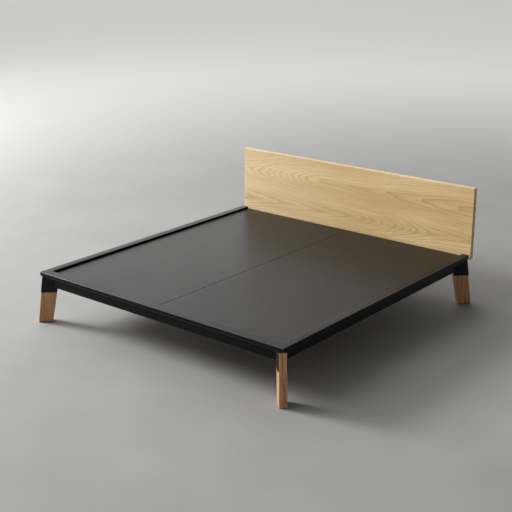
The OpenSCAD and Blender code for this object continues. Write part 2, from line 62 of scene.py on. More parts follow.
def start_box(name, low, high):
    """A box between two corners, with its place in its mesh."""
    low, high = Vector(low), Vector(high)
    clear_selection()
    bpy.ops.mesh.primitive_cube_add(size=1, location=(low + high) / 2)
    piece = bpy.context.object
    piece.name = piece.data.name = name
    piece.scale = high - low
    bpy.ops.object.transform_apply(location=True, rotation=True, scale=True)
    return piece


def duplicate(piece, name):
    """A second piece with a mesh of its own."""
    twin = bpy.data.objects.new(name, piece.data.copy())
    twin.data.name = name
    bpy.context.scene.collection.objects.link(twin)
    return twin


def open_edges(piece, wanted):
    """Opens the piece in edit mode with just the edges selected that pass the test."""
    take(piece)
    bpy.ops.object.mode_set(mode="EDIT")
    bpy.ops.mesh.select_mode(type="EDGE")
    bpy.ops.mesh.select_all(action="DESELECT")
    bpy.ops.object.mode_set(mode="OBJECT")
    points = piece.data.vertices
    for edge in piece.data.edges:
        edge.select = wanted(edge, *(points[i].co for i in edge.vertices))
    bpy.ops.object.mode_set(mode="EDIT")


def open_faces(piece, wanted):
    """Opens the piece in edit mode with just the faces selected that pass the test."""
    take(piece)
    bpy.ops.object.mode_set(mode="EDIT")
    bpy.ops.mesh.select_mode(type="FACE")
    bpy.ops.mesh.select_all(action="DESELECT")
    bpy.ops.object.mode_set(mode="OBJECT")
    for face in piece.data.polygons:
        face.select = wanted(face)
    bpy.ops.object.mode_set(mode="EDIT")


def bevel_and_mark(piece, radius, segments):
    """Rounds the selected edges, and marks the rounds, which the materials tint for rubbed wear and for
    painted highlights.

    The bevel gives its new faces the second of two empty material slots, and the mark is
    taken from there, on top of what an earlier round left.
    """
    mesh = piece.data
    bpy.ops.object.mode_set(mode="OBJECT")
    mesh.materials.clear()
    for _ in ("flat", "round"):
        mesh.materials.append(None)
    for face in mesh.polygons:
        face.material_index = 0
    bpy.ops.object.mode_set(mode="EDIT")
    bpy.ops.mesh.bevel(offset=radius, segments=segments, affect="EDGES", material=1)
    bpy.ops.object.mode_set(mode="OBJECT")
    # The mark is used for rubbed wear and for painted highlights on the rounds.
    mark = mesh.attributes.get("edge_round_mark") or mesh.attributes.new("edge_round_mark", "FLOAT", "FACE")
    for face in mesh.polygons:
        mark.data[face.index].value = max(mark.data[face.index].value, face.material_index)
        face.material_index = 0


def round_edges(piece, radius, wanted, segments=6):
    """Rounds over just the edges whose two ends pass the test."""
    open_edges(piece, lambda edge, one, other: wanted(one, other))
    bevel_and_mark(piece, radius, segments)


SHARP = math.radians(30)
SMOOTH_BELOW = math.radians(35)


def ease(piece, radius, shortest=0.0, segments=3):
    """Rounds every sharp edge a little, as sanding or coating leaves it."""
    take(piece)
    bpy.ops.object.mode_set(mode="EDIT")
    bpy.ops.mesh.select_mode(type="EDGE")
    bpy.ops.mesh.select_all(action="DESELECT")
    bpy.ops.mesh.edges_select_sharp(sharpness=SHARP)
    bpy.ops.object.mode_set(mode="OBJECT")
    sharp = {edge.index for edge in piece.data.edges if edge.select}
    open_edges(piece, lambda edge, one, other:
               edge.index in sharp and (one - other).length > shortest)
    bevel_and_mark(piece, radius, segments)


def keep_flats(piece):
    """Shades the rounds smooth and leaves the broad faces flat."""
    take(piece)
    bpy.ops.object.shade_smooth_by_angle(angle=SMOOTH_BELOW)
    flats = piece.modifiers.new("flats", "WEIGHTED_NORMAL")
    flats.keep_sharp = True
    bpy.ops.object.modifier_apply(modifier=flats.name)


def dress(piece, material, body, slot, *nodes):
    """Gives a finished piece its material, hangs it under its body and hides the CAD nodes it stands
    for.
    """
    piece.data.materials.clear()
    piece.data.materials.append(material)
    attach(piece, body)
    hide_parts(*nodes)


def add(tree, kind, inputs, **settings):
    """Adds a shader node. A socket given as an input is linked, and anything else is set."""
    node = tree.nodes.new("ShaderNode" + kind)
    for key, value in settings.items():
        setattr(node, key, value)
    for key, value in inputs.items():
        if isinstance(value, bpy.types.NodeSocket):
            tree.links.new(value, node.inputs[key])
        else:
            node.inputs[key].default_value = value
    return node


def calc(tree, operation, *values):
    """One step of arithmetic on numbers or sockets."""
    return add(tree, "Math", dict(enumerate(values)), operation=operation).outputs[0]


NOISE_RANGE = (0.3, 0.7)


def noise(tree, vector, detail=3.0, roughness=0.5):
    """Soft random tone, one blotch to each unit of the vector. Most of it is in NOISE_RANGE."""
    inputs = {"Vector": vector, "Scale": 1.0, "Detail": detail, "Roughness": roughness}
    return add(tree, "TexNoise", inputs).outputs[0]


def stretch(tree, vector, scale, turn=(0, 0, 0), start=(0, 0, 0)):
    """Coordinates moved, turned and then scaled, so the scale counts blotches to a metre."""
    moved = add(tree, "Mapping", {"Vector": vector, "Location": start}).outputs[0]
    return add(tree, "Mapping", {"Vector": moved, "Rotation": turn, "Scale": scale}).outputs[0]


def span(tree, value, low, high, to_low=0.0, to_high=1.0):
    """Carries one range of a value smoothly onto another."""
    inputs = {"Value": value, "From Min": low, "From Max": high, "To Min": to_low, "To Max": to_high}
    return add(tree, "MapRange", inputs, interpolation_type="SMOOTHSTEP").outputs[0]


def ramp(tree, value, *stops):
    """A colour ramp from (place, colour) stops."""
    node = add(tree, "ValToRGB", {0: value})
    colours = node.color_ramp.elements
    while len(colours) < len(stops):
        colours.new(0.5)
    for element, (place, colour) in zip(colours, stops):
        element.position = place
        element.color = (*colour, 1)
    return node.outputs[0]


def shades(tree, value, dark, light):
    """Two shades of one colour, spread over the noise's usual range."""
    return ramp(tree, value, *zip(NOISE_RANGE, (dark, light)))


def edge_round_marks(tree):
    """The mark that bevel_and_mark leaves: one on the rounds and nought on the flats."""
    return add(tree, "Attribute", {}, attribute_name="edge_round_mark").outputs["Fac"]


def tint(tree, amount, one, other):
    """Blends from one colour to another."""
    pair = [c if isinstance(c, bpy.types.NodeSocket) else (*c, 1) for c in (one, other)]
    return add(tree, "Mix", {0: amount, 6: pair[0], 7: pair[1]}, data_type="RGBA").outputs[2]


def start_finish(name):
    """A new material's tree and shader, and the object's coordinates."""
    material = bpy.data.materials.new(name)
    material.use_nodes = True
    tree = material.node_tree
    return material, tree, tree.nodes["Principled BSDF"], add(tree, "TexCoord", {}).outputs["Object"]


def finish(tree, shader, colour, roughness, height, strength, depth):
    """Joins the colour, the roughness and the relief to the shader."""
    bump = add(tree, "Bump", {"Height": height, "Strength": strength, "Distance": depth})
    tree.links.new(colour, shader.inputs["Base Color"])
    tree.links.new(roughness, shader.inputs["Roughness"])
    tree.links.new(bump.outputs[0], shader.inputs["Normal"])


LEG_BENDS = (9, 9, 1.8)
LEG_TONES = (62, 62, 1.4)
LEG_FIBRES = (420, 420, 9)
LEG_VESSELS = (900, 900, 28)
LEG_PITH_ACROSS = 0.10
LEG_PITH_THROUGH = 0.07
LEG_PITH_LEAN = 0.06
LEG_RING_WANDER = 0.018
LEG_RINGS_TO_A_METRE = 170.0
LEG_BROWNS = ((0.38, (0.390, 0.173, 0.059)), (0.50, (0.635, 0.325, 0.132)),
              (0.62, (0.780, 0.450, 0.210)))
LEG_LATEWOOD = (0.310, 0.135, 0.046)
LEG_PORES = (0.120, 0.055, 0.022)
LEG_ROUND_HIGHLIGHT = (0.86, 0.62, 0.38)
LEG_ROUGHNESS = (0.30, 0.46)
OPEN_VESSELS = (0.58, 0.70)


def oiled_oak(name, corner, turn):
    """Brown oiled oak. The grain runs up the leg, with its own pith well outside the wood."""
    material, tree, shader, place = start_finish(name)
    local = stretch(tree, place, (1, 1, 1), (0, 0, turn), tuple(-corner))
    across, through, along = add(tree, "SeparateXYZ", {0: local}).outputs
    lean = calc(tree, "MULTIPLY_ADD", along, LEG_PITH_LEAN, LEG_PITH_ACROSS)
    wander = calc(tree, "MULTIPLY", noise(tree, stretch(tree, local, LEG_BENDS), 2.0), LEG_RING_WANDER)
    far = calc(tree, "ADD", calc(tree, "ADD", across, lean), wander)
    deep = calc(tree, "ADD", through, LEG_PITH_THROUGH)
    squares = [calc(tree, "POWER", reach, 2.0) for reach in (far, deep)]
    radius = calc(tree, "SQRT", calc(tree, "ADD", *squares))
    rings = calc(tree, "FRACT", calc(tree, "MULTIPLY", radius, LEG_RINGS_TO_A_METRE))
    line = calc(tree, "POWER", calc(tree, "SUBTRACT", 1.0, rings), 3.0)
    fibre = noise(tree, stretch(tree, local, LEG_FIBRES), 4.0, 0.6)
    vessel = span(tree, noise(tree, stretch(tree, local, LEG_VESSELS), 2.0), *OPEN_VESSELS)
    pores = calc(tree, "MULTIPLY", vessel, calc(tree, "MULTIPLY_ADD", line, 0.75, 0.25))
    tone = noise(tree, stretch(tree, local, LEG_TONES), 2.0)
    shade = calc(tree, "MULTIPLY_ADD", tone, 0.65, calc(tree, "MULTIPLY", fibre, 0.35))
    wood = ramp(tree, shade, *LEG_BROWNS)
    wood = tint(tree, calc(tree, "MULTIPLY", line, 0.55), wood, LEG_LATEWOOD)
    wood = tint(tree, calc(tree, "MULTIPLY", pores, 0.50), wood, LEG_PORES)
    # Painted highlight: every round of the leg is tinted paler, where its edges would catch the light.
    wood = tint(tree, calc(tree, "MULTIPLY", edge_round_marks(tree), 0.40), wood, LEG_ROUND_HIGHLIGHT)
    height = calc(tree, "SUBTRACT", calc(tree, "MULTIPLY", fibre, 0.5), pores)
    finish(tree, shader, wood, span(tree, fibre, *NOISE_RANGE, *LEG_ROUGHNESS), height, 0.35, 0.0004)
    return material


def rim_corner(side, end):
    """The rim's outer corner on the floor, where the leg's diagonal starts."""
    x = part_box("rim_right")[1].x if side > 0 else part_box("rim_left")[0].x
    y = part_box("rim_right")[1].y if end > 0 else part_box("rim_foot")[0].y
    return Vector((x, y, 0))


def inward_turn(side, end):
    """The turn about the vertical that points +X inward along the corner's diagonal."""
    return math.atan2(-end, -side)


CORNERS = {"foot_left": (-1, -1), "foot_right": (1, -1), "head_left": (-1, 1), "head_right": (1, 1)}
LEG_THICKNESS = 0.050
LEG_AT_FLOOR = (-0.0276, 0.0686)
LEG_AT_TOP = (0.0153, 0.1271)
LEG_ROUND = 0.006
LEG_END_ARRIS = 0.0012

bottom, top = (point.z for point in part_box("leg_foot_left"))
leg_pattern = start_box("leg_pattern", (LEG_AT_FLOOR[0], -LEG_THICKNESS / 2, bottom),
                        (LEG_AT_FLOOR[1], LEG_THICKNESS / 2, top))
open_faces(leg_pattern, lambda face: face.normal.z > 0.9)
wider = (LEG_AT_TOP[1] - LEG_AT_TOP[0]) / (LEG_AT_FLOOR[1] - LEG_AT_FLOOR[0])
bpy.ops.transform.resize(value=(wider, 1, 1), center_override=(sum(LEG_AT_FLOOR) / 2, 0, top))
bpy.ops.transform.translate(value=((sum(LEG_AT_TOP) - sum(LEG_AT_FLOOR)) / 2, 0, 0))
round_edges(leg_pattern, LEG_ROUND, lambda one, other: abs(one.z - other.z) > (top - bottom) / 2)
ease(leg_pattern, LEG_END_ARRIS)

for corner, (side, end) in CORNERS.items():
    leg = duplicate(leg_pattern, "oak_leg_" + corner)
    take(leg)
    leg.rotation_euler.z = inward_turn(side, end)
    leg.location = rim_corner(side, end)
    bpy.ops.object.transform_apply(location=True, rotation=True, scale=True)
    keep_flats(leg)
    oak = oiled_oak("oiled_oak_" + corner, rim_corner(side, end), -inward_turn(side, end))
    dress(leg, oak, "frame", "leg_oak", "leg_" + corner)
bpy.data.objects.remove(leg_pattern)


# Glides. A black nylon pad under each leg keeps the end grain off the floor, with a
# spigot on it that is pressed into the wood. They are moulded, with softened edges.
SAME_POINT = 0.00001
SAME_PLANE = math.radians(1)
SHORTEST_EASED = 0.008


def eased_copy(node, name, radius, shortest=SHORTEST_EASED):
    """A merged copy of a CAD node, with its long sharp edges rounded."""
    piece = duplicate(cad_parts[node], name)
    take(piece)
    bpy.ops.mesh.customdata_custom_splitnormals_clear()
    bpy.ops.object.mode_set(mode="EDIT")
    bpy.ops.mesh.select_all(action="SELECT")
    bpy.ops.mesh.remove_doubles(threshold=SAME_POINT)
    bpy.ops.mesh.dissolve_limited(angle_limit=SAME_PLANE)
    ease(piece, radius, shortest)
    keep_flats(piece)
    return piece


NYLON_ARRIS = 0.0008
NYLON_FLOW = (40, 40, 40)
NYLON_GRAIN = (1400, 1400, 1400)
NYLON_SCUFFS = (180, 60, 180)
NYLON_BLACKS = ((0.014, 0.014, 0.015), (0.024, 0.024, 0.025))
SCUFFED_NYLON = (0.06, 0.06, 0.06)
NYLON_ROUGHNESS = (0.45, 0.60)


def moulded_nylon():
    """Black nylon with faint flow marks, a fine mould grain and some scuffs."""
    material, tree, shader, place = start_finish("moulded_nylon")
    flow = noise(tree, stretch(tree, place, NYLON_FLOW), 3.0)
    grain = noise(tree, stretch(tree, place, NYLON_GRAIN), 2.0)
    scuff = span(tree, noise(tree, stretch(tree, place, NYLON_SCUFFS), 4.0), 0.58, 0.72)
    black = shades(tree, flow, *NYLON_BLACKS)
    black = tint(tree, calc(tree, "MULTIPLY", scuff, 0.4), black, SCUFFED_NYLON)
    finish(tree, shader, black, span(tree, flow, *NOISE_RANGE, *NYLON_ROUGHNESS), grain, 0.15, 0.0002)
    return material


nylon = moulded_nylon()
for corner in CORNERS:
    glide = eased_copy("glide_" + corner, "nylon_glide_" + corner, NYLON_ARRIS)
    dress(glide, nylon, "frame", "nylon", "glide_" + corner)


# Leg brackets. Two cheeks, a top plate and two ears of plate steel, welded together and
# powder coated black. The cheeks clamp the leg's top with countersunk bolts and sleeve
# nuts, blackened to match, and flat screws hold the top plate up to the rim.
STEEL_ARRIS = 0.0008
COAT_PEEL = 0.0011
COAT_CLOUDS = (14, 14, 14)
COAT_RUBS = (70, 70, 70)
COAT_BLACKS = ((0.0045, 0.0045, 0.0047), (0.0075, 0.0075, 0.0077))
RUBBED_COAT = (0.085, 0.083, 0.080)
COAT_ROUGHNESS = (0.42, 0.54)
OXIDE_MOTTLE = (260, 260, 260)
OXIDE_TURNING = (900, 900, 900)
OXIDE_BLACKS = ((0.35, (0.012, 0.012, 0.013)), (0.65, (0.030, 0.029, 0.028)))
OXIDE_ROUGHNESS = (0.34, 0.52)


def powder_coat():
    """Satin black powder coat, with its fine orange peel, rubbed a little at the edges."""
    material, tree, shader, place = start_finish("black_powder_coat")
    shader.inputs["Specular IOR Level"].default_value = 0.25
    peel = noise(tree, stretch(tree, place, [1 / COAT_PEEL] * 3), 2.0, 0.6)
    cloud = noise(tree, stretch(tree, place, COAT_CLOUDS), 3.0)
    rub = span(tree, noise(tree, stretch(tree, place, COAT_RUBS), 4.0), 0.50, 0.66)
    edge_tint = calc(tree, "MULTIPLY", calc(tree, "MULTIPLY", edge_round_marks(tree), rub), 0.55)
    black = tint(tree, edge_tint, shades(tree, cloud, *COAT_BLACKS), RUBBED_COAT)
    finish(tree, shader, black, span(tree, cloud, *NOISE_RANGE, *COAT_ROUGHNESS), peel, 0.22, 0.0002)
    return material


def black_oxide():
    """Blackened steel, oily and slightly mottled."""
    material, tree, shader, place = start_finish("black_oxide")
    shader.inputs["Metallic"].default_value = 0.7
    mottle = noise(tree, stretch(tree, place, OXIDE_MOTTLE), 4.0)
    turned = noise(tree, stretch(tree, place, OXIDE_TURNING), 2.0)
    black = ramp(tree, mottle, *OXIDE_BLACKS)
    finish(tree, shader, black, span(tree, mottle, *NOISE_RANGE, *OXIDE_ROUGHNESS), turned, 0.10, 0.0001)
    return material


def refinish(node, material):
    """Gives a CAD node that is shown as it is a better material."""
    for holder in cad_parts[node].material_slots:
        holder.material = material


black_steel = powder_coat()
blackened = black_oxide()
for corner in CORNERS:
    bracket = eased_copy("bracket_" + corner, "leg_bracket_" + corner, STEEL_ARRIS)
    dress(bracket, black_steel, "frame", "black_steel", "bracket_" + corner)
for node in ("leg_bolts", "leg_sleeve_nuts", "corner_screws"):
    refinish(node, blackened)


# Aprons. Four hardwood rails stand on edge between the brackets, mitred at their ends
# and lacquered satin black all over. Bolts through the bracket's ears hold them, in
# threaded inserts, and screws in deep counterbores pull the rim down onto them.
ALONG_X, ALONG_Y = 0, 1
APRON_ARRIS = 0.0015
LACQUER_GRAIN = (420, 7)
LACQUER_FILM = (24, 1.5)
LACQUER_RUBS = (38, 38, 38)
LACQUER_BLACKS = ((0.0028, 0.0028, 0.0029), (0.0048, 0.0047, 0.0046))
# Paler colour for the lacquer's rounds: rubbed wear and a painted highlight.
RUBBED_AND_HIGHLIT_LACQUER = (0.105, 0.100, 0.094)
LACQUER_ROUGHNESS = (0.27, 0.37)
ZINC_CLOUDS = (110, 110, 110)
ZINC_DRAWING = (1500, 1500, 120)
ZINC_ROUGHNESS = (0.26, 0.44)
BRIGHT_ZINC = ((0.42, 0.43, 0.44), (0.66, 0.66, 0.65))
YELLOW_ZINC = ((0.46, 0.36, 0.16), (0.66, 0.56, 0.32))


def grained(axis, across, along):
    """Blotches to a metre on each axis, with their own number along the grain."""
    return [along if axis == other else across for other in range(3)]


def black_lacquer(name, axis):
    """Satin black lacquer, with the wood's grain telegraphing through along one axis."""
    material, tree, shader, place = start_finish(name)
    shader.inputs["Specular IOR Level"].default_value = 0.12
    shader.inputs["Coat Roughness"].default_value = 0.28
    grain = noise(tree, stretch(tree, place, grained(axis, *LACQUER_GRAIN)), 4.0, 0.6)
    film = noise(tree, stretch(tree, place, grained(axis, *LACQUER_FILM)), 3.0)
    rub = span(tree, noise(tree, stretch(tree, place, LACQUER_RUBS), 5.0, 0.6), 0.50, 0.64)
    round_mark = edge_round_marks(tree)
    # Painted highlight and wear: the noisy share of this paler tint is rubbed wear, and the steady share
    # on every round is a painted highlight.
    edge_tint = calc(tree, "MULTIPLY", round_mark, calc(tree, "MULTIPLY_ADD", rub, 0.45, 0.20))
    black = tint(tree, edge_tint, shades(tree, film, *LACQUER_BLACKS), RUBBED_AND_HIGHLIT_LACQUER)
    sheen = span(tree, film, *NOISE_RANGE, *LACQUER_ROUGHNESS)
    sheen = calc(tree, "MULTIPLY_ADD", grain, 0.08, sheen)
    sheen = calc(tree, "MULTIPLY_ADD", round_mark, -0.08, sheen)
    tree.links.new(calc(tree, "MULTIPLY", round_mark, 0.70), shader.inputs["Coat Weight"])
    finish(tree, shader, black, sheen, grain, 0.12, 0.0002)
    return material


def zinc_plate(name, dark, light):
    """Plated steel, cloudy from the bath and a little rubbed."""
    material, tree, shader, place = start_finish(name)
    shader.inputs["Metallic"].default_value = 1.0
    cloud = noise(tree, stretch(tree, place, ZINC_CLOUDS), 4.0)
    drawn = noise(tree, stretch(tree, place, ZINC_DRAWING), 2.0)
    metal = ramp(tree, cloud, (0.35, dark), (0.65, light))
    finish(tree, shader, metal, span(tree, cloud, *NOISE_RANGE, *ZINC_ROUGHNESS), drawn, 0.10, 0.0001)
    return material


lacquer_crosswise = black_lacquer("black_lacquer_crosswise", ALONG_X)
lacquer_lengthwise = black_lacquer("black_lacquer_lengthwise", ALONG_Y)
bright_zinc = zinc_plate("bright_zinc", *BRIGHT_ZINC)
yellow_zinc = zinc_plate("yellow_zinc", *YELLOW_ZINC)

for place, lacquer in (("foot", lacquer_crosswise), ("head", lacquer_crosswise),
                       ("left", lacquer_lengthwise), ("right", lacquer_lengthwise)):
    apron = eased_copy("apron_" + place, "lacquered_apron_" + place, APRON_ARRIS)
    dress(apron, lacquer, "frame", "black_lacquer", "apron_" + place)
for node in ("rail_bolts", "apron_screws"):
    refinish(node, bright_zinc)
refinish("rail_inserts", yellow_zinc)


# Rim. Three boards lie flat on the aprons and brackets, mitred where they meet at the
# foot, and stop square at the open head end. Their outer corners are rounded over, and
# the same black lacquer covers them, glossier on the arrises, which are also tinted paler
# as a painted highlight along with some rubbed wear.
RIM_CORNER_ROUND = 0.005
RIM_ARRIS = 0.0025
MITRE_ARRIS = 0.0003

rim_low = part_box("rim_foot")[0]
rim_high = Vector((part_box("rim_right")[1].x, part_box("rim_right")[1].y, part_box("rim_foot")[1].z))
tray_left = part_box("rim_left")[1].x
tray_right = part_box("rim_right")[0].x
tray_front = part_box("rim_foot")[1].y


def mitre(board, tip, inner, keep):
    """Saws the board on the upright plane through two points, and keeps one side."""
    line = Vector((inner[0] - tip[0], inner[1] - tip[1], 0))
    across = Vector((-line.y, line.x, 0)).normalized()
    if across.dot(keep) > 0:
        across.negate()
    open_faces(board, lambda face: True)
    bpy.ops.mesh.bisect(plane_co=(*tip, 0), plane_no=across, use_fill=True, clear_outer=True)
    bpy.ops.object.mode_set(mode="OBJECT")


def rim_board(node, low, high, lacquer, keep, tips):
    """One board of the rim: corners rounded, arrises eased, then mitred at each tip."""
    board = start_box("lacquered_" + node, low, high)
    corners = [Vector((x, rim_low.y, 0)) for x in (rim_low.x, rim_high.x)]
    round_edges(board, RIM_CORNER_ROUND, lambda one, other: any(
        (one.xy - c.xy).length < 0.001 and (other.xy - c.xy).length < 0.001 for c in corners))
    ease(board, RIM_ARRIS)
    for tip, inner in tips:
        mitre(board, tip, inner, keep)
    ease(board, MITRE_ARRIS, segments=1)
    keep_flats(board)
    dress(board, lacquer, "frame", "black_lacquer", node)


left_tip = ((rim_low.x, rim_low.y), (tray_left, tray_front))
right_tip = ((rim_high.x, rim_low.y), (tray_right, tray_front))
rim_board("rim_foot", rim_low, (rim_high.x, tray_front, rim_high.z), lacquer_crosswise,
          Vector((0, -1, 0)), (left_tip, right_tip))
rim_board("rim_left", rim_low, (tray_left, rim_high.y, rim_high.z), lacquer_lengthwise,
          Vector((0, 1, 0)), (left_tip,))
rim_board("rim_right", (tray_right, rim_low.y, rim_low.z), rim_high, lacquer_lengthwise,
          Vector((0, 1, 0)), (right_tip,))


# Centre beam. A planed pine beam runs down the middle from the foot apron to the head
# apron, under the seam of the deck. A folded shoe of zinc plated steel carries each of
# its ends, and round-headed screws hold the shoes to the aprons.
BEAM_ARRIS = 0.0025
FOLDED_ARRIS = 0.0006
PINE_WANDER = (9, 0.9)
PINE_FIBRES = (520, 9)
PINE_RINGS_TO_A_METRE = 150.0
PINE_RING_WANDER = 9.0
PINE_BROWNS = ((0.560, 0.375, 0.195), (0.700, 0.505, 0.290))
PINE_LATEWOOD = (0.430, 0.235, 0.095)
PINE_STREAK = (0.400, 0.230, 0.110)
PINE_ROUGHNESS = (0.52, 0.66)


def planed_pine(name, axis):
    """Pale pine with straight rings, a few darker streaks and a planed face."""
    material, tree, shader, place = start_finish(name)
    wander = noise(tree, stretch(tree, place, grained(axis, *PINE_WANDER)), 2.0)
    reach = add(tree, "SeparateXYZ", {0: place}).outputs
    across = calc(tree, "ADD", reach[1 - axis], calc(tree, "MULTIPLY", reach[2], 0.6))
    bent = calc(tree, "MULTIPLY", wander, PINE_RING_WANDER)
    rings = calc(tree, "FRACT", calc(tree, "MULTIPLY_ADD", across, PINE_RINGS_TO_A_METRE, bent))
    line = calc(tree, "POWER", rings, 2.5)
    fibre = noise(tree, stretch(tree, place, grained(axis, *PINE_FIBRES)), 3.0)
    pine = shades(tree, fibre, *PINE_BROWNS)
    pine = tint(tree, calc(tree, "MULTIPLY", line, 0.5), pine, PINE_LATEWOOD)
    streak = span(tree, wander, 0.60, 0.72)
    pine = tint(tree, calc(tree, "MULTIPLY", streak, 0.35), pine, PINE_STREAK)
    finish(tree, shader, pine, span(tree, fibre, *NOISE_RANGE, *PINE_ROUGHNESS), fibre, 0.25, 0.0003)
    return material


pine_lengthwise = planed_pine("planed_pine_lengthwise", ALONG_Y)
pine_crosswise = planed_pine("planed_pine_crosswise", ALONG_X)
beam = eased_copy("centre_beam", "pine_centre_beam", BEAM_ARRIS)
dress(beam, pine_lengthwise, "frame", "pine", "centre_beam")
for place in ("foot", "head"):
    shoe = eased_copy("beam_hanger_" + place, "folded_shoe_" + place, FOLDED_ARRIS)
    dress(shoe, bright_zinc, "frame", "zinc_steel", "beam_hanger_" + place)
refinish("hanger_screws", bright_zinc)


# Centre legs. Two steel tubes stand under the beam, each with a plate welded on top and
# four screws up into the pine, in the same powder coat as the brackets. A nylon plug
# closes the tube's end and guides the stem of a levelling foot, which turns to reach
# the floor: a nylon pad with a hexagon collar, moulded round a plated steel stem.
PLUG_ARRIS = 0.0006
STEM_RADIUS = 0.005
STEM_SIDES = 32
STEM_PITCH = 0.0015
STEM_ARRIS = 0.0007
STEM_IN_COLLAR = 0.001
THREAD_GREYS_SHADED_ROOTS = ((0.0, (0.16, 0.16, 0.16)), (0.35, (0.62, 0.62, 0.61)))
THREAD_ROUGHNESS = (0.50, 0.28)
PAD_TOP = 0.012
PAD_CHAMFER = 0.003
PAD_SIDES = 48
COLLAR_TOP = 0.018
COLLAR_RADIUS = 0.010
COLLAR_SIDES = 6


def start_post(name, middle, radius, low, high, sides):
    """An upright cylinder or prism, with its place in its mesh."""
    clear_selection()
    bpy.ops.mesh.primitive_cylinder_add(vertices=sides, radius=radius, depth=high - low,
                                        location=(middle.x, middle.y, (low + high) / 2))
    piece = bpy.context.object
    piece.name = piece.data.name = name
    bpy.ops.object.transform_apply(location=True, rotation=True, scale=True)
    return piece


def threaded_zinc(name, middle):
    """Plated steel with a screw thread cut round the stem's own axis."""
    material, tree, shader, place = start_finish(name)
    shader.inputs["Metallic"].default_value = 1.0
    local = stretch(tree, place, (1, 1, 1), start=(-middle.x, -middle.y, 0))
    x, y, z = add(tree, "SeparateXYZ", {0: local}).outputs
    turn = calc(tree, "DIVIDE", calc(tree, "ARCTAN2", y, x), math.tau)
    thread = calc(tree, "PINGPONG", calc(tree, "MULTIPLY_ADD", z, 1 / STEM_PITCH, turn), 0.5)
    # Painted shade: the thread's roots are painted darker than its crests.
    metal = ramp(tree, thread, *THREAD_GREYS_SHADED_ROOTS)
    finish(tree, shader, metal, span(tree, thread, 0.0, 0.5, *THREAD_ROUGHNESS), thread, 1.0, 0.0006)
    return material


for place in ("front", "rear"):
    tube = eased_copy("centre_leg_" + place, "steel_centre_leg_" + place, STEEL_ARRIS)
    dress(tube, black_steel, "frame", "black_steel", "centre_leg_" + place)
    plug = eased_copy("centre_leg_plug_" + place, "nylon_tube_plug_" + place, PLUG_ARRIS)
    dress(plug, nylon, "frame", "nylon", "centre_leg_plug_" + place)
    node = "centre_foot_" + place
    low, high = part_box(node)
    middle = (low + high) / 2
    pad = start_post("levelling_pad_" + place, middle, (high.x - low.x) / 2, low.z, PAD_TOP, PAD_SIDES)
    round_edges(pad, PAD_CHAMFER, lambda one, other: max(one.z, other.z) < PAD_CHAMFER, segments=2)
    collar = start_post("collar", middle, COLLAR_RADIUS, PAD_TOP, COLLAR_TOP, COLLAR_SIDES)
    take(pad)
    collar.select_set(True)
    bpy.ops.object.join()
    ease(pad, PLUG_ARRIS)
    keep_flats(pad)
    dress(pad, nylon, "level_foot_" + place, "nylon", node)
    stem = start_post("levelling_stem_" + place, middle, STEM_RADIUS, COLLAR_TOP - STEM_IN_COLLAR,
                      high.z, STEM_SIDES)
    ease(stem, STEM_ARRIS)
    keep_flats(stem)
    threaded = threaded_zinc("threaded_zinc_" + place, middle)
    dress(stem, threaded, "level_foot_" + place, "zinc_steel", node)
refinish("centre_leg_screws", bright_zinc)


# Ledgers and bearers. Pine strips are screwed along both side aprons and both sides of
# the beam, and five flat pine bearers lie across them on each side of the bed, each
# held down by two countersunk screws whose heads sit flush under the deck.
BEARERS = 5
LEDGER_ARRIS = 0.0015
BEARER_ARRIS = 0.0025

for node in ("side_ledger_left", "side_ledger_right", "beam_ledger_left", "beam_ledger_right"):
    strip = eased_copy(node, "pine_" + node, LEDGER_ARRIS)
    dress(strip, pine_lengthwise, "frame", "pine", node)
for side in ("left", "right"):
    for number in range(1, BEARERS + 1):
        node = f"bearer_{side}_{number}"
        slat = eased_copy(node, "pine_" + node, BEARER_ARRIS)
        dress(slat, pine_crosswise, "frame", "pine", node)
for node in ("ledger_screws", "bearer_screws"):
    refinish(node, bright_zinc)


# Deck panels. Two board panels lie loose in the tray, one on each side of the seam, and
# lift straight out. They are coated satin black with a very fine texture, which shows
# the polish and smudges of use only where light glances off it.
DECK_ARRIS = 0.0010
DECK_TEXTURE = (900, 900, 900)
DECK_CLOUDS = (1.6, 1.1, 1.0)
DECK_SMUDGES = (9, 7, 1)
DECK_BLACKS = ((0.0062, 0.0061, 0.0059), (0.0088, 0.0087, 0.0084))
DECK_EDGE_HIGHLIGHT = (0.060, 0.058, 0.055)
DECK_ROUGHNESS = (0.30, 0.34)


def deck_coat():
    """Satin black board coating, a little cloudy in its polish."""
    material, tree, shader, place = start_finish("deck_coat")
    shader.inputs["Specular IOR Level"].default_value = 0.13
    texture = noise(tree, stretch(tree, place, DECK_TEXTURE), 2.0, 0.6)
    cloud = noise(tree, stretch(tree, place, DECK_CLOUDS), 3.0)
    smudge = noise(tree, stretch(tree, place, DECK_SMUDGES), 4.0, 0.6)
    black = shades(tree, cloud, *DECK_BLACKS)
    # Painted highlight: every round of the panel is tinted paler, where its arrises would catch the
    # light.
    black = tint(tree, calc(tree, "MULTIPLY", edge_round_marks(tree), 0.3), black, DECK_EDGE_HIGHLIGHT)
    polish = span(tree, cloud, *NOISE_RANGE, *DECK_ROUGHNESS)
    polish = calc(tree, "MULTIPLY_ADD", smudge, 0.07, polish)
    finish(tree, shader, black, polish, texture, 0.06, 0.0001)
    return material


deck_black = deck_coat()
for side in ("left", "right"):
    node = "deck_" + side
    panel = start_box("deck_panel_" + side, *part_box(node))
    ease(panel, DECK_ARRIS)
    keep_flats(panel)
    dress(panel, deck_black, "deck_panel_" + side, "deck_black", node)


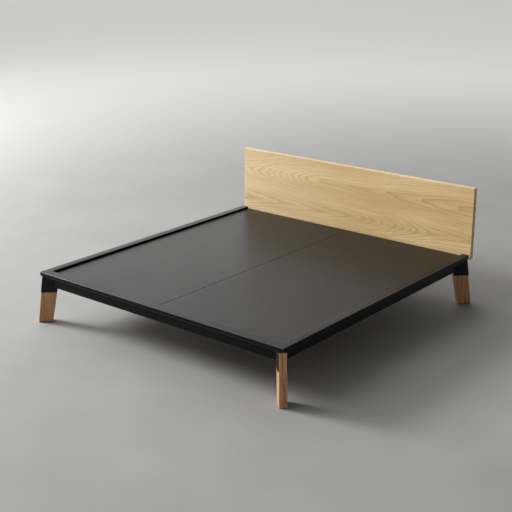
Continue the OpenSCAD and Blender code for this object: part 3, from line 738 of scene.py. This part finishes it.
# Headboard. One wide board of light oak stands behind the open head end, a finger clear
# of the deck. Its crown-cut face shows cathedral grain lying on its side, its arrises
# are rounded and it is finished in clear matt lacquer.
HEAD_CORNER_ROUND = 0.008
HEAD_ARRIS = 0.0035
HEAD_DRIFTS = (1.5, 1.5, 4.0)
HEAD_DRIFT_START = (0.9, 0, 0)
HEAD_RIPPLES = (2.6, 6, 26)
HEAD_TONES = (1.0, 5, 9)
HEAD_FIBRES = (7, 300, 420)
HEAD_VESSELS = (26, 500, 800)
ARCH_ROW = 0.23
ARCH_ROW_DRIFT = 0.050
ARCH_ROW_RAISE = 0.010
UPPER_ARCHES = (-1.02, -0.25)
LOWER_ARCHES = (0.00, 0.75)
CLOSE_ARCHES = 7.0
ARCHES_TO_A_METRE = 3.2
RINGS_TO_A_ROW = 5.0
HEAD_BROWNS = ((0.40, (0.610, 0.400, 0.168)), (0.50, (0.720, 0.508, 0.242)),
               (0.60, (0.805, 0.610, 0.325)))
HEAD_PAINTED_SHEEN = (0.640, 0.520, 0.350)
HEAD_PAINTED_SHEEN_SPAN = (-1.1, 0.7)
HEAD_LATEWOOD = (0.450, 0.262, 0.092)
HEAD_PORES = (0.360, 0.205, 0.075)
HEAD_ROUND_HIGHLIGHT = (0.80, 0.68, 0.50)
HEAD_ROUGHNESS = (0.46, 0.60)


def crown_cut_rings(tree, place):
    """Counts the growth rings: arches that point left in one row and right in the row below."""
    low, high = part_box("headboard")
    axis = (low.z + high.z) / 2 + ARCH_ROW_RAISE
    x, _, z = add(tree, "SeparateXYZ", {0: place}).outputs
    drift = noise(tree, stretch(tree, place, HEAD_DRIFTS, start=HEAD_DRIFT_START), 2.0)
    level = calc(tree, "MULTIPLY_ADD", drift, ARCH_ROW_DRIFT, calc(tree, "SUBTRACT", z, axis))
    crest = calc(tree, "SINE", calc(tree, "MULTIPLY", level, math.pi / ARCH_ROW))
    close = [span(tree, x, *row, 0.0, CLOSE_ARCHES) for row in (UPPER_ARCHES, LOWER_ARCHES)]
    upper, lower = (calc(tree, "MULTIPLY_ADD", x, ARCHES_TO_A_METRE, extra) for extra in close)
    weight = calc(tree, "MULTIPLY_ADD", crest, 0.5, 0.5)
    arches = calc(tree, "MULTIPLY_ADD", calc(tree, "SUBTRACT", upper, lower), weight, lower)
    count = calc(tree, "MULTIPLY_ADD", crest, RINGS_TO_A_ROW, arches)
    return calc(tree, "MULTIPLY_ADD", noise(tree, stretch(tree, place, HEAD_RIPPLES), 2.0), 1.2, count)


def crown_cut_oak():
    """Light oak, with lines of latewood that are stronger in some years than in others."""
    material, tree, shader, place = start_finish("crown_cut_oak")
    count = crown_cut_rings(tree, place)
    year = add(tree, "TexNoise", {"W": count, "Scale": 0.45, "Detail": 1.0},
               noise_dimensions="1D").outputs[0]
    rings = calc(tree, "FRACT", calc(tree, "ADD", year, count))
    line = calc(tree, "POWER", calc(tree, "SUBTRACT", 1.0, rings), 2.2)
    line = calc(tree, "MULTIPLY", line, span(tree, year, 0.35, 0.65, 0.55, 1.0))
    fibre = noise(tree, stretch(tree, place, HEAD_FIBRES), 4.0, 0.6)
    vessel = span(tree, noise(tree, stretch(tree, place, HEAD_VESSELS), 2.0), *OPEN_VESSELS)
    pores = calc(tree, "MULTIPLY", vessel, calc(tree, "MULTIPLY_ADD", line, 0.7, 0.3))
    tone = noise(tree, stretch(tree, place, HEAD_TONES), 2.0)
    shade = calc(tree, "MULTIPLY_ADD", tone, 0.55, calc(tree, "MULTIPLY", fibre, 0.45))
    x = add(tree, "SeparateXYZ", {0: place}).outputs[0]
    wood = ramp(tree, shade, *HEAD_BROWNS)
    # Painted sheen: the board is painted paler and greyer towards its left end, where the window light's
    # sheen falls.
    wood = tint(tree, span(tree, x, *HEAD_PAINTED_SHEEN_SPAN, 0.45, 0.0), wood, HEAD_PAINTED_SHEEN)
    wood = tint(tree, calc(tree, "MULTIPLY", line, 0.72), wood, HEAD_LATEWOOD)
    wood = tint(tree, calc(tree, "MULTIPLY", pores, 0.45), wood, HEAD_PORES)
    # Painted highlight: the board's rounded arrises are tinted paler, where they would catch the light.
    wood = tint(tree, calc(tree, "MULTIPLY", edge_round_marks(tree), 0.35), wood, HEAD_ROUND_HIGHLIGHT)
    height = calc(tree, "SUBTRACT", calc(tree, "MULTIPLY", fibre, 0.5), pores)
    finish(tree, shader, wood, span(tree, fibre, *NOISE_RANGE, *HEAD_ROUGHNESS), height, 0.25, 0.0003)
    return material


head_low, head_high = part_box("headboard")
board = start_box("oak_headboard", head_low, head_high)
round_edges(board, HEAD_CORNER_ROUND, lambda one, other:
            abs(one.y - other.y) > (head_high.y - head_low.y) / 2)
ease(board, HEAD_ARRIS)
keep_flats(board)
dress(board, crown_cut_oak(), "frame", "headboard_oak", "headboard")


# Headboard brackets. Each is a steel plate bolted to the head apron, with a shelf under
# the board, a gusset below the shelf and a strap up the board's back, welded and powder
# coated. Wood screws go through the strap, and bolts with nuts and washers go through
# the apron.
for side in ("left", "right"):
    node = "headboard_bracket_" + side
    strap = eased_copy(node, "steel_" + node, STEEL_ARRIS)
    dress(strap, black_steel, "frame", "black_steel", node)
for node in ("headboard_screws", "headboard_bolts", "headboard_nuts"):
    refinish(node, bright_zinc)


# Studio. The floor is plain and pale grey, greyer near the bed, and painted paler further
# away as painted light. A broad window light stands at the left with a small one beside
# it for the edges, in a pale surround that is brightest on the left.
FLOOR_SIZE = 80
FLOOR_MOTTLE = (1.3, 1.3, 1.3)
FLOOR_GRIT = (60, 60, 60)
FLOOR_NEAR = ((0.30, 0.30, 0.296), (0.35, 0.35, 0.345))
FLOOR_FAR_PAINTED_LIGHT = (0.90, 0.90, 0.90)
FLOOR_PAINTED_LIGHT_SPAN = (3.0, 12.0)
FLOOR_ROUGHNESS = (0.68, 0.82)
BRIGHT_SIDE = Vector((-0.97, 0.06, 0.25)).normalized()
GLOW_SPREAD = (0.22, 0.92)
GLOW = (0.17, 1.90)
GLOW_COLOUR = (1.0, 0.995, 0.985, 1)

clear_selection()
bpy.ops.mesh.primitive_plane_add(size=FLOOR_SIZE, location=(0, 0, 0))
floor = bpy.context.object
floor.name = "studio_floor"
material, tree, shader, place = start_finish("studio_floor")
shader.inputs["Specular IOR Level"].default_value = 0.2
mottle = noise(tree, stretch(tree, place, FLOOR_MOTTLE), 5.0, 0.6)
grit = noise(tree, stretch(tree, place, FLOOR_GRIT), 3.0)
away = add(tree, "VectorMath", {0: place}, operation="LENGTH").outputs["Value"]
# Painted light: the floor's colour grows paler with distance from the bed, in place of light on the far
# floor.
grey = tint(tree, span(tree, away, *FLOOR_PAINTED_LIGHT_SPAN), shades(tree, mottle, *FLOOR_NEAR), FLOOR_FAR_PAINTED_LIGHT)
finish(tree, shader, grey, span(tree, mottle, *NOISE_RANGE, *FLOOR_ROUGHNESS), grit, 0.10, 0.001)
floor.data.materials.append(material)

world = bpy.data.worlds.new("studio")
bpy.context.scene.world = world
world.use_nodes = True
tree = world.node_tree
sky = tree.nodes["Background"]
direction = add(tree, "TexCoord", {}).outputs["Generated"]
facing = add(tree, "VectorMath", {0: direction, 1: BRIGHT_SIDE}, operation="DOT_PRODUCT")
glow = span(tree, facing.outputs["Value"], *GLOW_SPREAD, *GLOW)
sky.inputs["Color"].default_value = GLOW_COLOUR
tree.links.new(glow, sky.inputs["Strength"])


def soft_light(name, place, target, size, watts):
    """A broad disk of light that shines at a point and isn't itself seen."""
    lamp = bpy.data.lights.new(name, "AREA")
    lamp.shape = "DISK"
    lamp.size = size
    lamp.energy = watts
    stand = bpy.data.objects.new(name, lamp)
    stand.location = place
    stand.rotation_euler = (Vector(target) - Vector(place)).to_track_quat("-Z", "Y").to_euler()
    stand.visible_camera = False
    bpy.context.scene.collection.objects.link(stand)


soft_light("window_light", place=(-8.3, -2.9, 4.6), target=(0.2, 0.3, 0.3), size=3.0, watts=1130)
soft_light("edge_light", place=(-7.3, -5.1, 4.5), target=(-0.6, -1.0, 0.3), size=0.8, watts=130)


# Camera. It stands in front of the foot's right corner and looks down across the bed.
CAMERA_PLACE = (4.28015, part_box("rim_foot")[0].y - 4.24778, 2.65981)
CAMERA_PITCH = 18.33
CAMERA_HEADING = 39.10
LENS = 74.503125
SENSOR_WIDTH = 36

camera = bpy.data.cameras.new("camera")
camera.sensor_width = SENSOR_WIDTH
camera.lens = LENS
stand = bpy.data.objects.new("camera", camera)
stand.location = CAMERA_PLACE
stand.rotation_euler = (math.radians(90 - CAMERA_PITCH), 0, math.radians(CAMERA_HEADING))
bpy.context.scene.collection.objects.link(stand)
bpy.context.scene.camera = stand
bpy.context.scene.view_settings.view_transform = "Standard"
